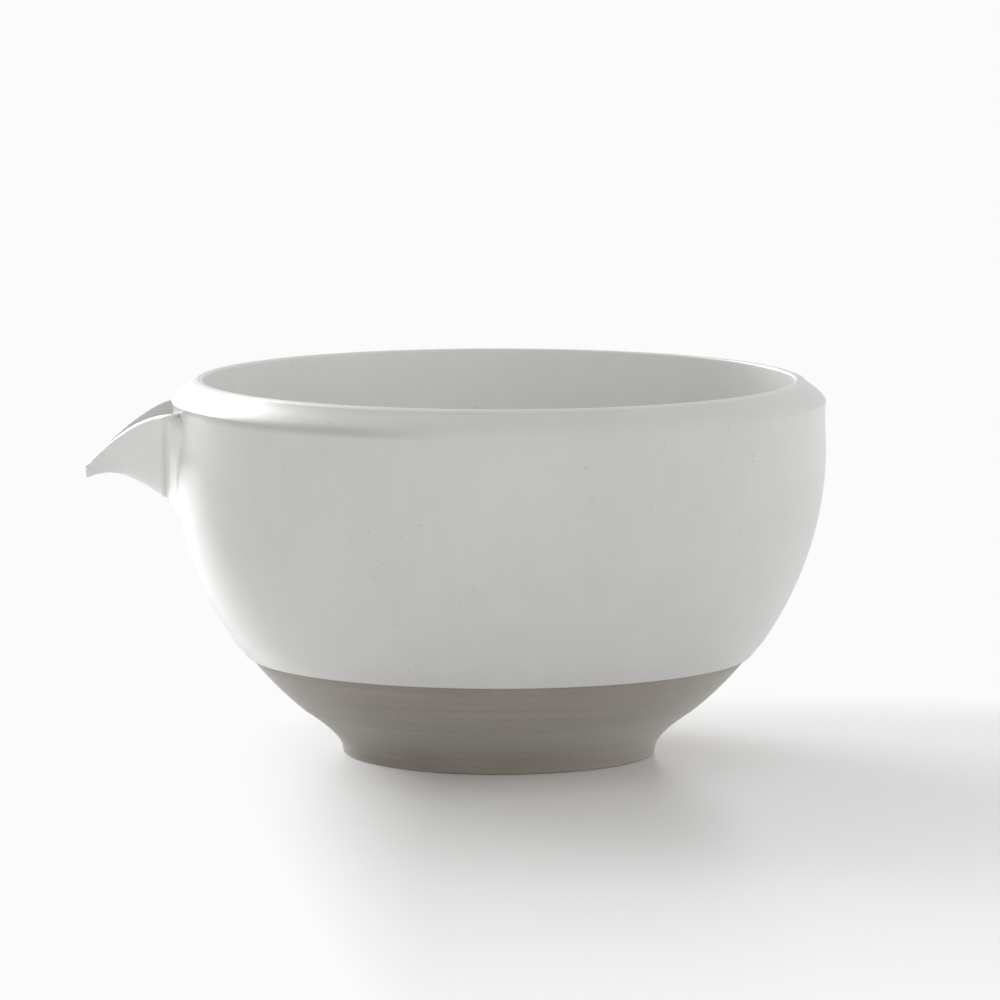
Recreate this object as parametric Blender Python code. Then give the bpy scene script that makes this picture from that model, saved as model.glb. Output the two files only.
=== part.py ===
"""Spouted matcha bowl: a turned stoneware bowl, a luted beak spout and a dipped glaze.

Metres, +Z up. The bowl stands on its foot ring at z = 0 and the spout points along -X.
The origin lies on the table, under the middle of the overall length. Every piece is modelled
about the bowl's own axis and parented to an empty that stands on that axis.
"""

import math

import bmesh
import bpy
from mathutils import Vector

MM = 0.001

# Fits: the space kept between touching pieces, and the thickness of the fired glaze.
FIT_GAP = 0.3 * MM
GLAZE = 0.4 * MM

# Bowl, measured on the bare clay.
WALL_RADIUS = 64.3 * MM
RIM_HEIGHT = 74.2 * MM
RIM_BAND_RUN = 4.6 * MM
RIM_BAND_DROP = 4.6 * MM
RIM_BAND_PULL = 0.4
RIM_EDGE_RADIUS = 0.4 * MM
CREST_SLOPE = math.radians(25.0)
GROOVE_WIDTH = 1.6 * MM
GROOVE_DEPTH = 0.3 * MM
UPRIGHT_WALL = 7.2 * MM
BELLY_SLOPE = math.radians(38.8)
BELLY_LOW_PULL = 0.37
BELLY_HIGH_PULL = 0.32
FLARE_RUN = 8.0 * MM
FLARE_RISE = 9.2 * MM
FLARE_FOOT_PULL = 3.3 * MM
FLARE_END_PULL = 0.4 * MM
FOOT_RADIUS = 31.2 * MM
FOOT_EDGE_RADIUS = 0.8 * MM
FOOT_RING_WIDTH = 6.0 * MM
FOOT_RECESS = 3.0 * MM
RECESS_SLOPE = 1.4 * MM
FLOOR_HEIGHT = 8.5 * MM
INNER_UPRIGHT = 14.0 * MM
INNER_PULL = 0.6
GLAZE_LINE = 19.9 * MM

# Spout: reach from the glazed wall, heights from its lip at the root.
SPOUT_REACH = 17.3 * MM
SPOUT_WIDTH = 23.0 * MM
SPOUT_DEPTH = 19.9 * MM
SPOUT_WALL = 2.4 * MM
SPOUT_FLOOR = 3.0 * MM
LIP_BELOW_SHOULDER = 0.2 * MM
LIP_SWELL = 9.5 * MM
LIP_PINCH_OUT = 6.2 * MM
LIP_PINCH_WIDTH = 4.0 * MM
LIP_ROLL = 0.6 * MM
LIP_CREST_SHARE = 0.4
LIP_EDGE_RADIUS = 0.35 * MM
TIP_DROP = 12.2 * MM
TIP_NOTCH = 1.6 * MM
TIP_WALL = 1.5 * MM
TIP_DEPTH = 2.5 * MM
TIP_FLOOR = 1.7 * MM
KEEL_LOW_OUT = 6.5 * MM
KEEL_LOW_RISE = 2.9 * MM
KEEL_HIGH_OUT = 8.8 * MM
KEEL_HIGH_RISE = 9.0 * MM
KEEL_ROUNDING = 1.5
ROOT_SINK = 3.0 * MM
ROOT_RUN = 7.0 * MM

# Pouring hole through the wall, inside the spout's root.
HOLE_WIDTH = 9.0 * MM
HOLE_HEIGHT = 10.0 * MM
HOLE_SILL = 2.4 * MM

# Luting bead in the corner round the spout's root.
BEAD_ON_WALL = 4.5 * MM
BEAD_ON_SPOUT = 2.4 * MM
BEAD_EDGE = 0.25 * MM
BEAD_HOLLOW = 0.32

# Fineness of the meshes.
TURN_STEPS = 60
BELLY_POINTS = 8
BAND_POINTS = 5
FLARE_POINTS = 5
GROOVE_POINTS = 4
FLOOR_POINTS = 8
SPOUT_STATIONS = 15
SPOUT_RIBS = 9
HOLE_STEPS = 28
EDGE_STEPS = 2
SMOOTH_ANGLE = math.radians(35.0)
EDGE_ANGLE = math.radians(50.0)
WELD = 0.001 * MM
PROBE = 0.1 * MM
PLACE_PROBE = 0.001
HALVINGS = 40

# Worked out from the sizes above.
COAT = FIT_GAP + GLAZE
WALL_FACE = WALL_RADIUS + COAT
RIM_RADIUS = WALL_RADIUS - RIM_BAND_RUN
INNER_RADIUS = RIM_RADIUS - RIM_EDGE_RADIUS
SHOULDER_HEIGHT = RIM_HEIGHT - RIM_BAND_DROP
UPRIGHT_FOOT = SHOULDER_HEIGHT - GROOVE_WIDTH - UPRIGHT_WALL
LIP_HEIGHT = SHOULDER_HEIGHT - LIP_BELOW_SHOULDER
TROUGH_FLOOR = LIP_HEIGHT - SPOUT_DEPTH + SPOUT_FLOOR
HOLE_CENTRE = TROUGH_FLOOR + HOLE_SILL + HOLE_HEIGHT / 2
AXIS_X = SPOUT_REACH / 2


def clear_scene():
    """Remove every object that the scene starts with."""
    for item in list(bpy.data.objects):
        bpy.data.objects.remove(item, do_unlink=True)


def principled(name, colour, roughness):
    """Make a plain material with one colour and roughness."""
    material = bpy.data.materials.new(name)
    material.use_nodes = True
    shader = material.node_tree.nodes["Principled BSDF"]
    shader.inputs["Base Color"].default_value = (*colour, 1.0)
    shader.inputs["Roughness"].default_value = roughness
    shader.inputs["Metallic"].default_value = 0.0
    return material


def cubic(controls, t):
    """Point at t on the cubic curve with these four control points."""
    start, first, second, end = (Vector(point) for point in controls)
    s = 1.0 - t
    return start * s**3 + first * (3 * s * s * t) + second * (3 * s * t * t) + end * t**3


def cubic_run(controls, count):
    """Evenly stepped points along a cubic curve, without its first point."""
    return [cubic(controls, step / count) for step in range(1, count + 1)]


def crest_point(angle):
    """Point on the rounded rim edge, by its angle outwards from the top."""
    radius = RIM_RADIUS + RIM_EDGE_RADIUS * math.sin(angle)
    return Vector((radius, RIM_HEIGHT - RIM_EDGE_RADIUS * (1.0 - math.cos(angle))))


def foot_outline():
    """Underside from the axis to the outer edge of the foot, as (radius, height)."""
    ring_inner = FOOT_RADIUS - FOOT_RING_WIDTH
    outline = [Vector((0.0, FOOT_RECESS)), Vector((ring_inner - RECESS_SLOPE, FOOT_RECESS))]
    outline.append(Vector((ring_inner, 0.0)))
    for angle in (0.0, math.pi / 4, math.pi / 2):
        radius = FOOT_RADIUS - FOOT_EDGE_RADIUS * (1.0 - math.sin(angle))
        outline.append(Vector((radius, FOOT_EDGE_RADIUS * (1.0 - math.cos(angle)))))
    return outline


def belly_controls():
    """Control points of the convex belly, from the flare up to the upright wall."""
    low = Vector((FOOT_RADIUS + FLARE_RUN, FLARE_RISE))
    high = Vector((WALL_RADIUS, UPRIGHT_FOOT))
    span = (high - low).length
    leave = Vector((math.cos(BELLY_SLOPE), math.sin(BELLY_SLOPE)))
    return low, low + leave * span * BELLY_LOW_PULL, high - Vector((0.0, span * BELLY_HIGH_PULL)), high


def belly_at_height(height):
    """Place along the belly curve, from 0 to 1, where it passes a height."""
    controls = belly_controls()
    low, high = 0.0, 1.0
    for _ in range(HALVINGS):
        middle = (low + high) / 2
        if cubic(controls, middle).y < height:
            low = middle
        else:
            high = middle
    return (low + high) / 2


def outer_outline():
    """Outside of the clay above the foot edge, up to the crest.

    Returns the points and the index of the point on the glaze line.
    """
    start = Vector((FOOT_RADIUS, FOOT_EDGE_RADIUS))
    belly = belly_controls()
    lean = (belly[1] - belly[0]).normalized()
    rise = start + Vector((0.0, FLARE_FOOT_PULL))
    flare = (start, rise, belly[0] - lean * FLARE_END_PULL, belly[0])
    outline = cubic_run(flare, FLARE_POINTS)
    line = belly_at_height(GLAZE_LINE)
    outline.append(cubic(belly, line / 2))
    glaze_index = len(outline)
    for step in range(BELLY_POINTS + 1):
        outline.append(cubic(belly, line + (1.0 - line) * step / BELLY_POINTS))
    for step in range(GROOVE_POINTS):
        share = step / GROOVE_POINTS
        dip = GROOVE_DEPTH * math.sin(math.pi * share) ** 2
        height = SHOULDER_HEIGHT - GROOVE_WIDTH * (1.0 - share)
        outline.append(Vector((WALL_RADIUS - dip, height)))
    shoulder = Vector((WALL_RADIUS, SHOULDER_HEIGHT))
    edge = crest_point(CREST_SLOPE)
    pull = (edge - shoulder).length * RIM_BAND_PULL
    approach = edge + Vector((math.cos(CREST_SLOPE), -math.sin(CREST_SLOPE))) * pull
    outline.append(shoulder)
    outline += cubic_run((shoulder, shoulder + Vector((0.0, pull)), approach, edge), BAND_POINTS)
    return outline, glaze_index


def inner_outline():
    """Inside of the clay, from the inner side of the crest to the middle of the floor."""
    top = RIM_HEIGHT - RIM_EDGE_RADIUS
    foot = top - INNER_UPRIGHT
    drop = (foot - FLOOR_HEIGHT) * INNER_PULL
    spread = FOOT_RADIUS + FLARE_RUN
    controls = (
        Vector((INNER_RADIUS, foot)),
        Vector((INNER_RADIUS, foot - drop)),
        Vector((spread, FLOOR_HEIGHT)),
        Vector((0.0, FLOOR_HEIGHT)),
    )
    outline = [crest_point(-math.pi / 4), Vector((INNER_RADIUS, top)), Vector((INNER_RADIUS, foot))]
    return outline + cubic_run(controls, FLOOR_POINTS)


def clay_face():
    """The whole glazed side of the clay: outside, crest, inside.

    Returns the points, the index of the glaze line and the index of the last point that
    the outside glaze covers.
    """
    outside, glaze_index = outer_outline()
    meeting = math.asin(FIT_GAP / 2 / (RIM_EDGE_RADIUS + FIT_GAP))
    face = outside + [crest_point(meeting), crest_point(-meeting)] + inner_outline()
    return face, glaze_index, len(outside)


def offset_outline(points, distance):
    """Move an outline away from the clay by a distance, keeping its runs parallel."""
    normals = []
    for here, there in zip(points, points[1:]):
        run = (there - here).normalized()
        normals.append(Vector((run.y, -run.x)))
    moved = []
    for index, point in enumerate(points):
        before = normals[max(index - 1, 0)]
        after = normals[min(index, len(normals) - 1)]
        mitre = (before + after) / (1.0 + before.dot(after))
        shifted = point + mitre * distance
        moved.append(Vector((max(shifted.x, 0.0), shifted.y)))
    return moved


def radius_at(outline, height):
    """Radius of a rising outline at a height."""
    for low, high in zip(outline, outline[1:]):
        if low.y <= height <= high.y:
            share = (height - low.y) / (high.y - low.y)
            return low.x + (high.x - low.x) * share
    return outline[-1].x if height > outline[-1].y else outline[0].x


def make_object(name, bm, material, axis, cutter=False):
    """Turn a bmesh into an object on the bowl's axis, shaded smooth."""
    bmesh.ops.recalc_face_normals(bm, faces=bm.faces)
    mesh = bpy.data.meshes.new(name)
    bm.to_mesh(mesh)
    bm.free()
    mesh.shade_smooth()
    mesh.set_sharp_from_angle(angle=SMOOTH_ANGLE)
    item = bpy.data.objects.new(name, mesh)
    bpy.context.scene.collection.objects.link(item)
    item.parent = axis
    if cutter:
        item.hide_render = True
        item.display_type = "WIRE"
    else:
        mesh.materials.append(material)
    return item


def turned(name, outline, closed, material, axis, cutter=False):
    """Spin an outline of (radius, height) points round the bowl's axis."""
    bm = bmesh.new()
    verts = [bm.verts.new((point.x, 0.0, point.y)) for point in outline]
    pairs = list(zip(verts, verts[1:]))
    if closed:
        pairs.append((verts[-1], verts[0]))
    edges = [bm.edges.new(pair) for pair in pairs]
    bmesh.ops.spin(
        bm,
        geom=verts + edges,
        axis=(0.0, 0.0, 1.0),
        cent=(0.0, 0.0, 0.0),
        angle=math.tau,
        steps=TURN_STEPS,
        use_merge=True,
    )
    bmesh.ops.remove_doubles(bm, verts=bm.verts, dist=WELD)
    return make_object(name, bm, material, axis, cutter)


def cut(item, cutter):
    """Take a cutter's shape out of an object."""
    boolean = item.modifiers.new("cut_" + cutter.name, "BOOLEAN")
    boolean.operation = "DIFFERENCE"
    boolean.solver = "EXACT"
    boolean.object = cutter


def round_edges(item, radius):
    """Round the sharp edges of an object."""
    bevel = item.modifiers.new("edge_rounding", "BEVEL")
    bevel.limit_method = "ANGLE"
    bevel.angle_limit = EDGE_ANGLE
    bevel.width = radius
    bevel.segments = EDGE_STEPS


def lip_at(t):
    """Inner edge of the spout's lip as (out, half width, height); below 0 it runs straight in."""
    half = SPOUT_WIDTH / 2
    controls = (
        (-ROOT_SINK, half, LIP_HEIGHT),
        (0.0, half + LIP_SWELL, LIP_HEIGHT),
        (LIP_PINCH_OUT, LIP_PINCH_WIDTH / 2, LIP_HEIGHT),
        (SPOUT_REACH, TIP_NOTCH / 2, LIP_HEIGHT - TIP_DROP),
    )
    point = cubic(controls, max(t, 0.0))
    return point + Vector((min(t, 0.0) * ROOT_RUN, 0.0, 0.0))


def keel_at(t):
    """Lowest line of the spout as (out, 0, height); below 0 it runs straight in."""
    root = LIP_HEIGHT - SPOUT_DEPTH
    controls = (
        (-ROOT_SINK, 0.0, root),
        (KEEL_LOW_OUT, 0.0, root + KEEL_LOW_RISE),
        (KEEL_HIGH_OUT, 0.0, root + KEEL_HIGH_RISE),
        (SPOUT_REACH, 0.0, LIP_HEIGHT - TIP_DROP - TIP_DEPTH),
    )
    point = cubic(controls, max(t, 0.0))
    return point + Vector((min(t, 0.0) * ROOT_RUN, 0.0, 0.0))


def along(root, tip, t):
    """A size that eases from the spout's root to its tip."""
    return root + (tip - root) * min(max(t, 0.0), 1.0)


def to_bowl(point):
    """From (out, across, height) on the spout to the bowl's own axes."""
    return Vector((-(WALL_FACE + point.x), point.y, point.z))


def rib_point(keel, edge, v):
    """Point on a rib that rises from the keel to an edge on the side of v's sign."""
    rise = abs(v)
    out = keel.x + (edge.x - keel.x) * rise * rise
    height = keel.z + (edge.z - keel.z) * rise**KEEL_ROUNDING
    return Vector((out, edge.y * v, height))


def outer_edge(t):
    """Outer edge of the lip as (out, half width, height)."""
    lip = lip_at(t)
    return lip + Vector((0.0, along(SPOUT_WALL, TIP_WALL, t), -LIP_ROLL))


def spout_outside(t, v):
    """Point on the outside of the spout: t from root to tip, v from lip to lip."""
    return rib_point(keel_at(t), outer_edge(t), v)


def spout_inside(t, v):
    """Point on the trough of the spout."""
    floor = keel_at(t) + Vector((0.0, 0.0, along(SPOUT_FLOOR, TIP_FLOOR, t)))
    return rib_point(floor, lip_at(t) - Vector((0.0, 0.0, LIP_ROLL / 2)), v)


def lip_crest(t, side):
    """Highest line of the rounded lip on one side."""
    lip = lip_at(t)
    across = lip.y + along(SPOUT_WALL, TIP_WALL, t) * LIP_CREST_SHARE
    return Vector((lip.x, across * side, lip.z))


def rib_places():
    """Places of the ribs across the spout, from the lip at -Y to the lip at +Y."""
    return [step / SPOUT_RIBS for step in range(-SPOUT_RIBS, SPOUT_RIBS + 1)]


def spout_section(t):
    """Closed outline of the spout's trough at one station, in the bowl's axes."""
    places = rib_places()
    loop = [spout_outside(t, v) for v in places]
    loop.append(lip_crest(t, 1.0))
    loop += [spout_inside(t, v) for v in reversed(places)]
    loop.append(lip_crest(t, -1.0))
    return [to_bowl(point) for point in loop]


def loft(sections):
    """Close a run of matching outlines into one solid, with flat ends."""
    bm = bmesh.new()
    rings = [[bm.verts.new(point) for point in section] for section in sections]
    for ring, following in zip(rings, rings[1:]):
        for index in range(len(ring)):
            after = (index + 1) % len(ring)
            bm.faces.new((ring[index], ring[after], following[after], following[index]))
    ends = [bm.faces.new(rings[0]), bm.faces.new(rings[-1])]
    bmesh.ops.triangulate(bm, faces=ends)
    bmesh.ops.recalc_face_normals(bm, faces=bm.faces)
    return bm


def spout_solid():
    """The spout's trough as a lofted bmesh, with its root running into the wall."""
    stations = [-1.0] + [step / SPOUT_STATIONS for step in range(SPOUT_STATIONS + 1)]
    return loft([spout_section(t) for t in stations])


def grown(bm, distance):
    """Move every face of a bmesh outwards by a distance."""
    bm.normal_update()
    moves = [vert.normal * vert.calc_shell_factor() * distance for vert in bm.verts]
    for vert, move in zip(bm.verts, moves):
        vert.co += move
    return bm


def pour_hole(axis):
    """Cutter for the oval pouring hole, along X through the wall."""
    ring = []
    for step in range(HOLE_STEPS):
        angle = math.tau * step / HOLE_STEPS
        across = HOLE_WIDTH / 2 * math.cos(angle)
        ring.append(Vector((0.0, across, HOLE_CENTRE + HOLE_HEIGHT / 2 * math.sin(angle))))
    near = -(INNER_RADIUS - ROOT_RUN)
    far = -(WALL_FACE + ROOT_SINK)
    sections = [[Vector((x, point.y, point.z)) for point in ring] for x in (near, far)]
    return make_object("hole_cutter", loft(sections), None, axis, cutter=True)


def root_place(v, glazed):
    """Where a line along the outside of the spout, at place v, meets the glazed wall."""
    low, high = -1.0, 1.0
    for _ in range(HALVINGS):
        middle = (low + high) / 2
        point = to_bowl(spout_outside(middle, v))
        if math.hypot(point.x, point.y) < radius_at(glazed, point.z):
            low = middle
        else:
            high = middle
    return (low + high) / 2


def spout_normal(t, v):
    """Outward normal of the outside of the spout."""
    ahead = to_bowl(spout_outside(t + PLACE_PROBE, v))
    forward = ahead - to_bowl(spout_outside(t - PLACE_PROBE, v))
    low = max(v - PLACE_PROBE, -1.0)
    high = min(v + PLACE_PROBE, 1.0)
    across = to_bowl(spout_outside(t, high)) - to_bowl(spout_outside(t, low))
    return forward.cross(across).normalized()


def wall_normal(point, glazed):
    """Outward normal of the glazed wall at a point on it."""
    above = radius_at(glazed, point.z + PROBE)
    slope = (above - radius_at(glazed, point.z - PROBE)) / (2 * PROBE)
    across = Vector((point.x, point.y, 0.0)).normalized()
    return (across - Vector((0.0, 0.0, slope))).normalized()


def off_wall(point, glazed):
    """Move a point level and radially to the fit gap in front of the glazed wall."""
    across = Vector((point.x, point.y, 0.0)).normalized()
    place = across * (radius_at(glazed, point.z) + FIT_GAP / wall_normal(point, glazed).dot(across))
    return Vector((place.x, place.y, point.z))


def further_along(t, v, length):
    """Place along the spout's outside that lies a length further from the wall."""
    start = to_bowl(spout_outside(t, v))
    low, high = t, 1.0
    for _ in range(HALVINGS):
        middle = (low + high) / 2
        if (to_bowl(spout_outside(middle, v)) - start).length < length:
            low = middle
        else:
            high = middle
    return (low + high) / 2


def bead_section(v, glazed):
    """Outline of the luting bead where it crosses place v of the spout's root."""
    t = root_place(v, glazed)
    corner = to_bowl(spout_outside(t, v))
    on_wall = wall_normal(corner, glazed)
    on_spout = spout_normal(t, v)
    along_wall = (on_spout - on_wall * on_spout.dot(on_wall)).normalized()
    along_spout = (on_wall - on_spout * on_wall.dot(on_spout)).normalized()
    heel = corner + along_wall * (FIT_GAP / along_wall.dot(on_spout))
    heel += along_spout * (FIT_GAP / along_spout.dot(on_wall))
    toe = off_wall(heel + along_wall * BEAD_ON_WALL, glazed)
    upper = further_along(t, v, BEAD_ON_SPOUT)
    top = to_bowl(spout_outside(upper, v)) + spout_normal(upper, v) * FIT_GAP
    middle = heel + ((toe - heel) + (top - heel)) * BEAD_HOLLOW
    return [heel, toe, toe + along_spout * BEAD_EDGE, middle, top + along_wall * BEAD_EDGE, top]


def build():
    """Model every piece of the bowl."""
    clear_scene()
    axis = bpy.data.objects.new("bowl_axis", None)
    axis.location = (AXIS_X, 0.0, 0.0)
    bpy.context.scene.collection.objects.link(axis)

    bare_clay = principled("bare_stoneware", (0.32, 0.28, 0.235), 0.85)
    outer_coat = principled("outer_glaze", (0.67, 0.665, 0.645), 0.35)
    inner_coat = principled("inner_glaze", (0.66, 0.655, 0.635), 0.35)
    spout_coat = principled("glazed_spout", (0.68, 0.675, 0.655), 0.35)
    bead_coat = principled("glazed_bead", (0.65, 0.645, 0.625), 0.4)

    face, glaze_index, meeting = clay_face()
    inside_coat = offset_outline(face, FIT_GAP)
    outside_coat = offset_outline(face, COAT)
    glazed = outside_coat[glaze_index:meeting + 1]
    hole = pour_hole(axis)

    bowl = turned("bowl_body", foot_outline() + face, False, bare_clay, axis)
    cut(bowl, hole)

    backing = inside_coat[glaze_index:meeting + 1]
    outer = turned("outer_glaze", backing + glazed[::-1], True, outer_coat, axis)
    window = make_object("window_cutter", grown(spout_solid(), FIT_GAP), None, axis, cutter=True)
    cut(outer, hole)
    cut(outer, window)

    lining = outside_coat[meeting + 1:][::-1] + inside_coat[meeting + 1:]
    inner = turned("inner_glaze", lining, False, inner_coat, axis)
    cut(inner, hole)

    envelope_face = [Vector((0.0, 0.0))] + inside_coat[:meeting + 1]
    envelope_face.append(Vector((0.0, envelope_face[-1].y)))
    envelope = turned("wall_cutter", envelope_face, False, None, axis, cutter=True)
    spout = make_object("spout", spout_solid(), spout_coat, axis)
    round_edges(spout, LIP_EDGE_RADIUS)
    cut(spout, envelope)

    bead = loft([bead_section(v, glazed) for v in rib_places()])
    make_object("luting_bead", bead, bead_coat, axis)


build()
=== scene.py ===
"""Looks of a spouted matcha bowl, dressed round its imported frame.

Metres, +Z up. The bowl stands on its foot ring at z = 0 and its spout points along -X. Each piece
replaces the solid of the same part in its own place and size, and adds what the solid leaves out:
the narrow flat on the rim's crest, the cove under the rim band, the rounded edge of the glaze, the
rolled lips of the spout and the luting that is worked out onto the wall. The glazed edge of the
pouring hole is a piece that the solids don't have.
"""

from __future__ import annotations

import logging
import math
from dataclasses import dataclass, field
from enum import Enum
from typing import Callable, ClassVar, Dict, List, Optional, Sequence, Tuple, Union

import bmesh
import bpy
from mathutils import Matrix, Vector

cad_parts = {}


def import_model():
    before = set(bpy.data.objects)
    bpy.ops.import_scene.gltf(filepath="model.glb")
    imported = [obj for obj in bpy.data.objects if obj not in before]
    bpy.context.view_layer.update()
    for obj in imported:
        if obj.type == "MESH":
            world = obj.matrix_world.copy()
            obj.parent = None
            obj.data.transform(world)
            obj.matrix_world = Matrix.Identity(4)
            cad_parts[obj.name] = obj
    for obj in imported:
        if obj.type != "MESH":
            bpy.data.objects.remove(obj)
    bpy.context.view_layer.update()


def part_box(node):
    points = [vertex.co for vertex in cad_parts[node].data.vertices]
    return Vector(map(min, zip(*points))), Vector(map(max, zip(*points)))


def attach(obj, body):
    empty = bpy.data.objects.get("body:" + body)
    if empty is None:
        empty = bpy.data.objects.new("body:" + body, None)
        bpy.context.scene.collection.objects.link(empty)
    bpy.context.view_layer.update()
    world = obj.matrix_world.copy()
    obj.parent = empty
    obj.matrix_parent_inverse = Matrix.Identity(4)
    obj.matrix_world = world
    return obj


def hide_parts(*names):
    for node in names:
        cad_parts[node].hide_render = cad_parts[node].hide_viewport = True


LOG = logging.getLogger("matcha_bowl")
MM = 0.001
BODY = "root"
HALVINGS = 40
WELD = 0.0005 * MM
TIP_ROOM = 0.01 * MM
SHARP_ANGLE = math.radians(48.0)

Colour = Tuple[float, float, float]
SocketKey = Union[int, str]
Operand = Union["Wire", float]
Settings = Dict[str, object]
Sockets = Dict[SocketKey, object]


class Coat(Enum):
    """The two glaze coats of the bowl."""

    OUTSIDE = "outer_glaze"
    INSIDE = "inner_glaze"


class Ends(Enum):
    """What becomes of the two ends of a lofted run."""

    CAPPED = "capped"
    DRAWN = "drawn to a line"
    JOINED = "joined to each other"


class Side(Enum):
    """The two lips of the spout, by the sign of Y."""

    NEAR = -1.0
    FAR = 1.0


class Wire:
    """A socket in a node tree, with the arithmetic that its values take."""

    def __init__(self, bench: "NodeBench", socket: bpy.types.NodeSocket) -> None:
        """Keep the socket and the bench that it belongs to."""
        self.bench = bench
        self.socket = socket

    def other(self, key: SocketKey) -> "Wire":
        """Another output of the same node."""
        return Wire(self.bench, self.bench.find(self.socket.node.outputs, key))

    def _math(self, operation: str, left: Operand, right: Operand) -> "Wire":
        """Add one Math node."""
        return self.bench.node("ShaderNodeMath", {"operation": operation}, {0: left, 1: right})

    def __add__(self, other: Operand) -> "Wire":
        """Sum."""
        return self._math("ADD", self, other)

    def __radd__(self, other: Operand) -> "Wire":
        """Sum, from the right."""
        return self._math("ADD", other, self)

    def __sub__(self, other: Operand) -> "Wire":
        """Difference."""
        return self._math("SUBTRACT", self, other)

    def __rsub__(self, other: Operand) -> "Wire":
        """Difference, from the right."""
        return self._math("SUBTRACT", other, self)

    def __mul__(self, other: Operand) -> "Wire":
        """Product."""
        return self._math("MULTIPLY", self, other)

    def __rmul__(self, other: Operand) -> "Wire":
        """Product, from the right."""
        return self._math("MULTIPLY", other, self)

    def __gt__(self, other: Operand) -> "Wire":
        """1 where the value is greater, else 0."""
        return self._math("GREATER_THAN", self, other)

    def turn(self, function: str) -> "Wire":
        """A function of one value, such as SINE or ROUND."""
        return self.bench.node("ShaderNodeMath", {"operation": function}, {0: self})

    def ramp(self, start: Operand, end: Operand, low: float = 0.0, high: float = 1.0) -> "Wire":
        """Ease from low to high while the value goes from start to end."""
        span = {"Value": self, "From Min": start, "From Max": end, "To Min": low, "To Max": high}
        return self.bench.node("ShaderNodeMapRange", {"interpolation_type": "SMOOTHSTEP"}, span)

    def blend(self, low: object, high: object) -> "Wire":
        """Mix two colours by this value."""
        sockets = {"Factor_Float": self, "A_Color": low, "B_Color": high}
        return self.bench.node("ShaderNodeMix", {"data_type": "RGBA"}, sockets, "Result_Color")


class NodeBench:
    """Adds nodes to one tree and links them."""

    def __init__(self, tree: bpy.types.NodeTree) -> None:
        """Keep the tree that the nodes go into."""
        self.tree = tree

    @staticmethod
    def find(sockets: Sequence[bpy.types.NodeSocket], key: SocketKey) -> bpy.types.NodeSocket:
        """Find a socket.

        Args:
            sockets: The sockets on one side of a node.
            key: Its index, identifier or name.

        Returns:
            The socket.
        """
        if isinstance(key, int):
            return sockets[key]
        for socket in sockets:
            if socket.identifier == key:
                return socket
        return sockets[key]

    def node(
        self,
        kind: str,
        settings: Optional[Settings] = None,
        sockets: Optional[Sockets] = None,
        output: SocketKey = 0,
    ) -> Wire:
        """Add a node.

        Args:
            kind: The node's type.
            settings: Its settings, which are set first.
            sockets: Values or wires for its inputs.
            output: The output that is returned.

        Returns:
            The output, or the first input of a node that has no outputs.
        """
        made = self.tree.nodes.new(kind)
        for name, value in (settings or {}).items():
            setattr(made, name, value)
        for key, value in (sockets or {}).items():
            socket = self.find(made.inputs, key)
            if isinstance(value, Wire):
                self.tree.links.new(value.socket, socket)
            else:
                socket.default_value = value
        return Wire(self, self.find(made.outputs, output) if made.outputs else made.inputs[0])


def opaque(colour: Colour) -> Tuple[float, float, float, float]:
    """A colour with full alpha, as a colour socket takes it."""
    return (*colour, 1.0)


def new_material(name: str) -> Tuple[bpy.types.Material, NodeBench]:
    """Start a material.

    Args:
        name: Its name.

    Returns:
        The material, without nodes, and a bench on its tree.
    """
    material = bpy.data.materials.new(name)
    material.use_nodes = True
    material.node_tree.nodes.clear()
    return material, NodeBench(material.node_tree)


def noise(bench: NodeBench, place: Wire, scale: Operand, detail: float) -> Wire:
    """Noise of one scale over a piece."""
    sockets = {"Vector": place, "Scale": scale, "Detail": detail}
    return bench.node("ShaderNodeTexNoise", sockets=sockets)


def bumped(bench: NodeBench, height: Wire) -> Wire:
    """Normals of a surface that is raised by a height in metres."""
    sockets = {"Height": height, "Distance": 1.0, "Strength": 1.0}
    return bench.node("ShaderNodeBump", sockets=sockets)


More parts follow.
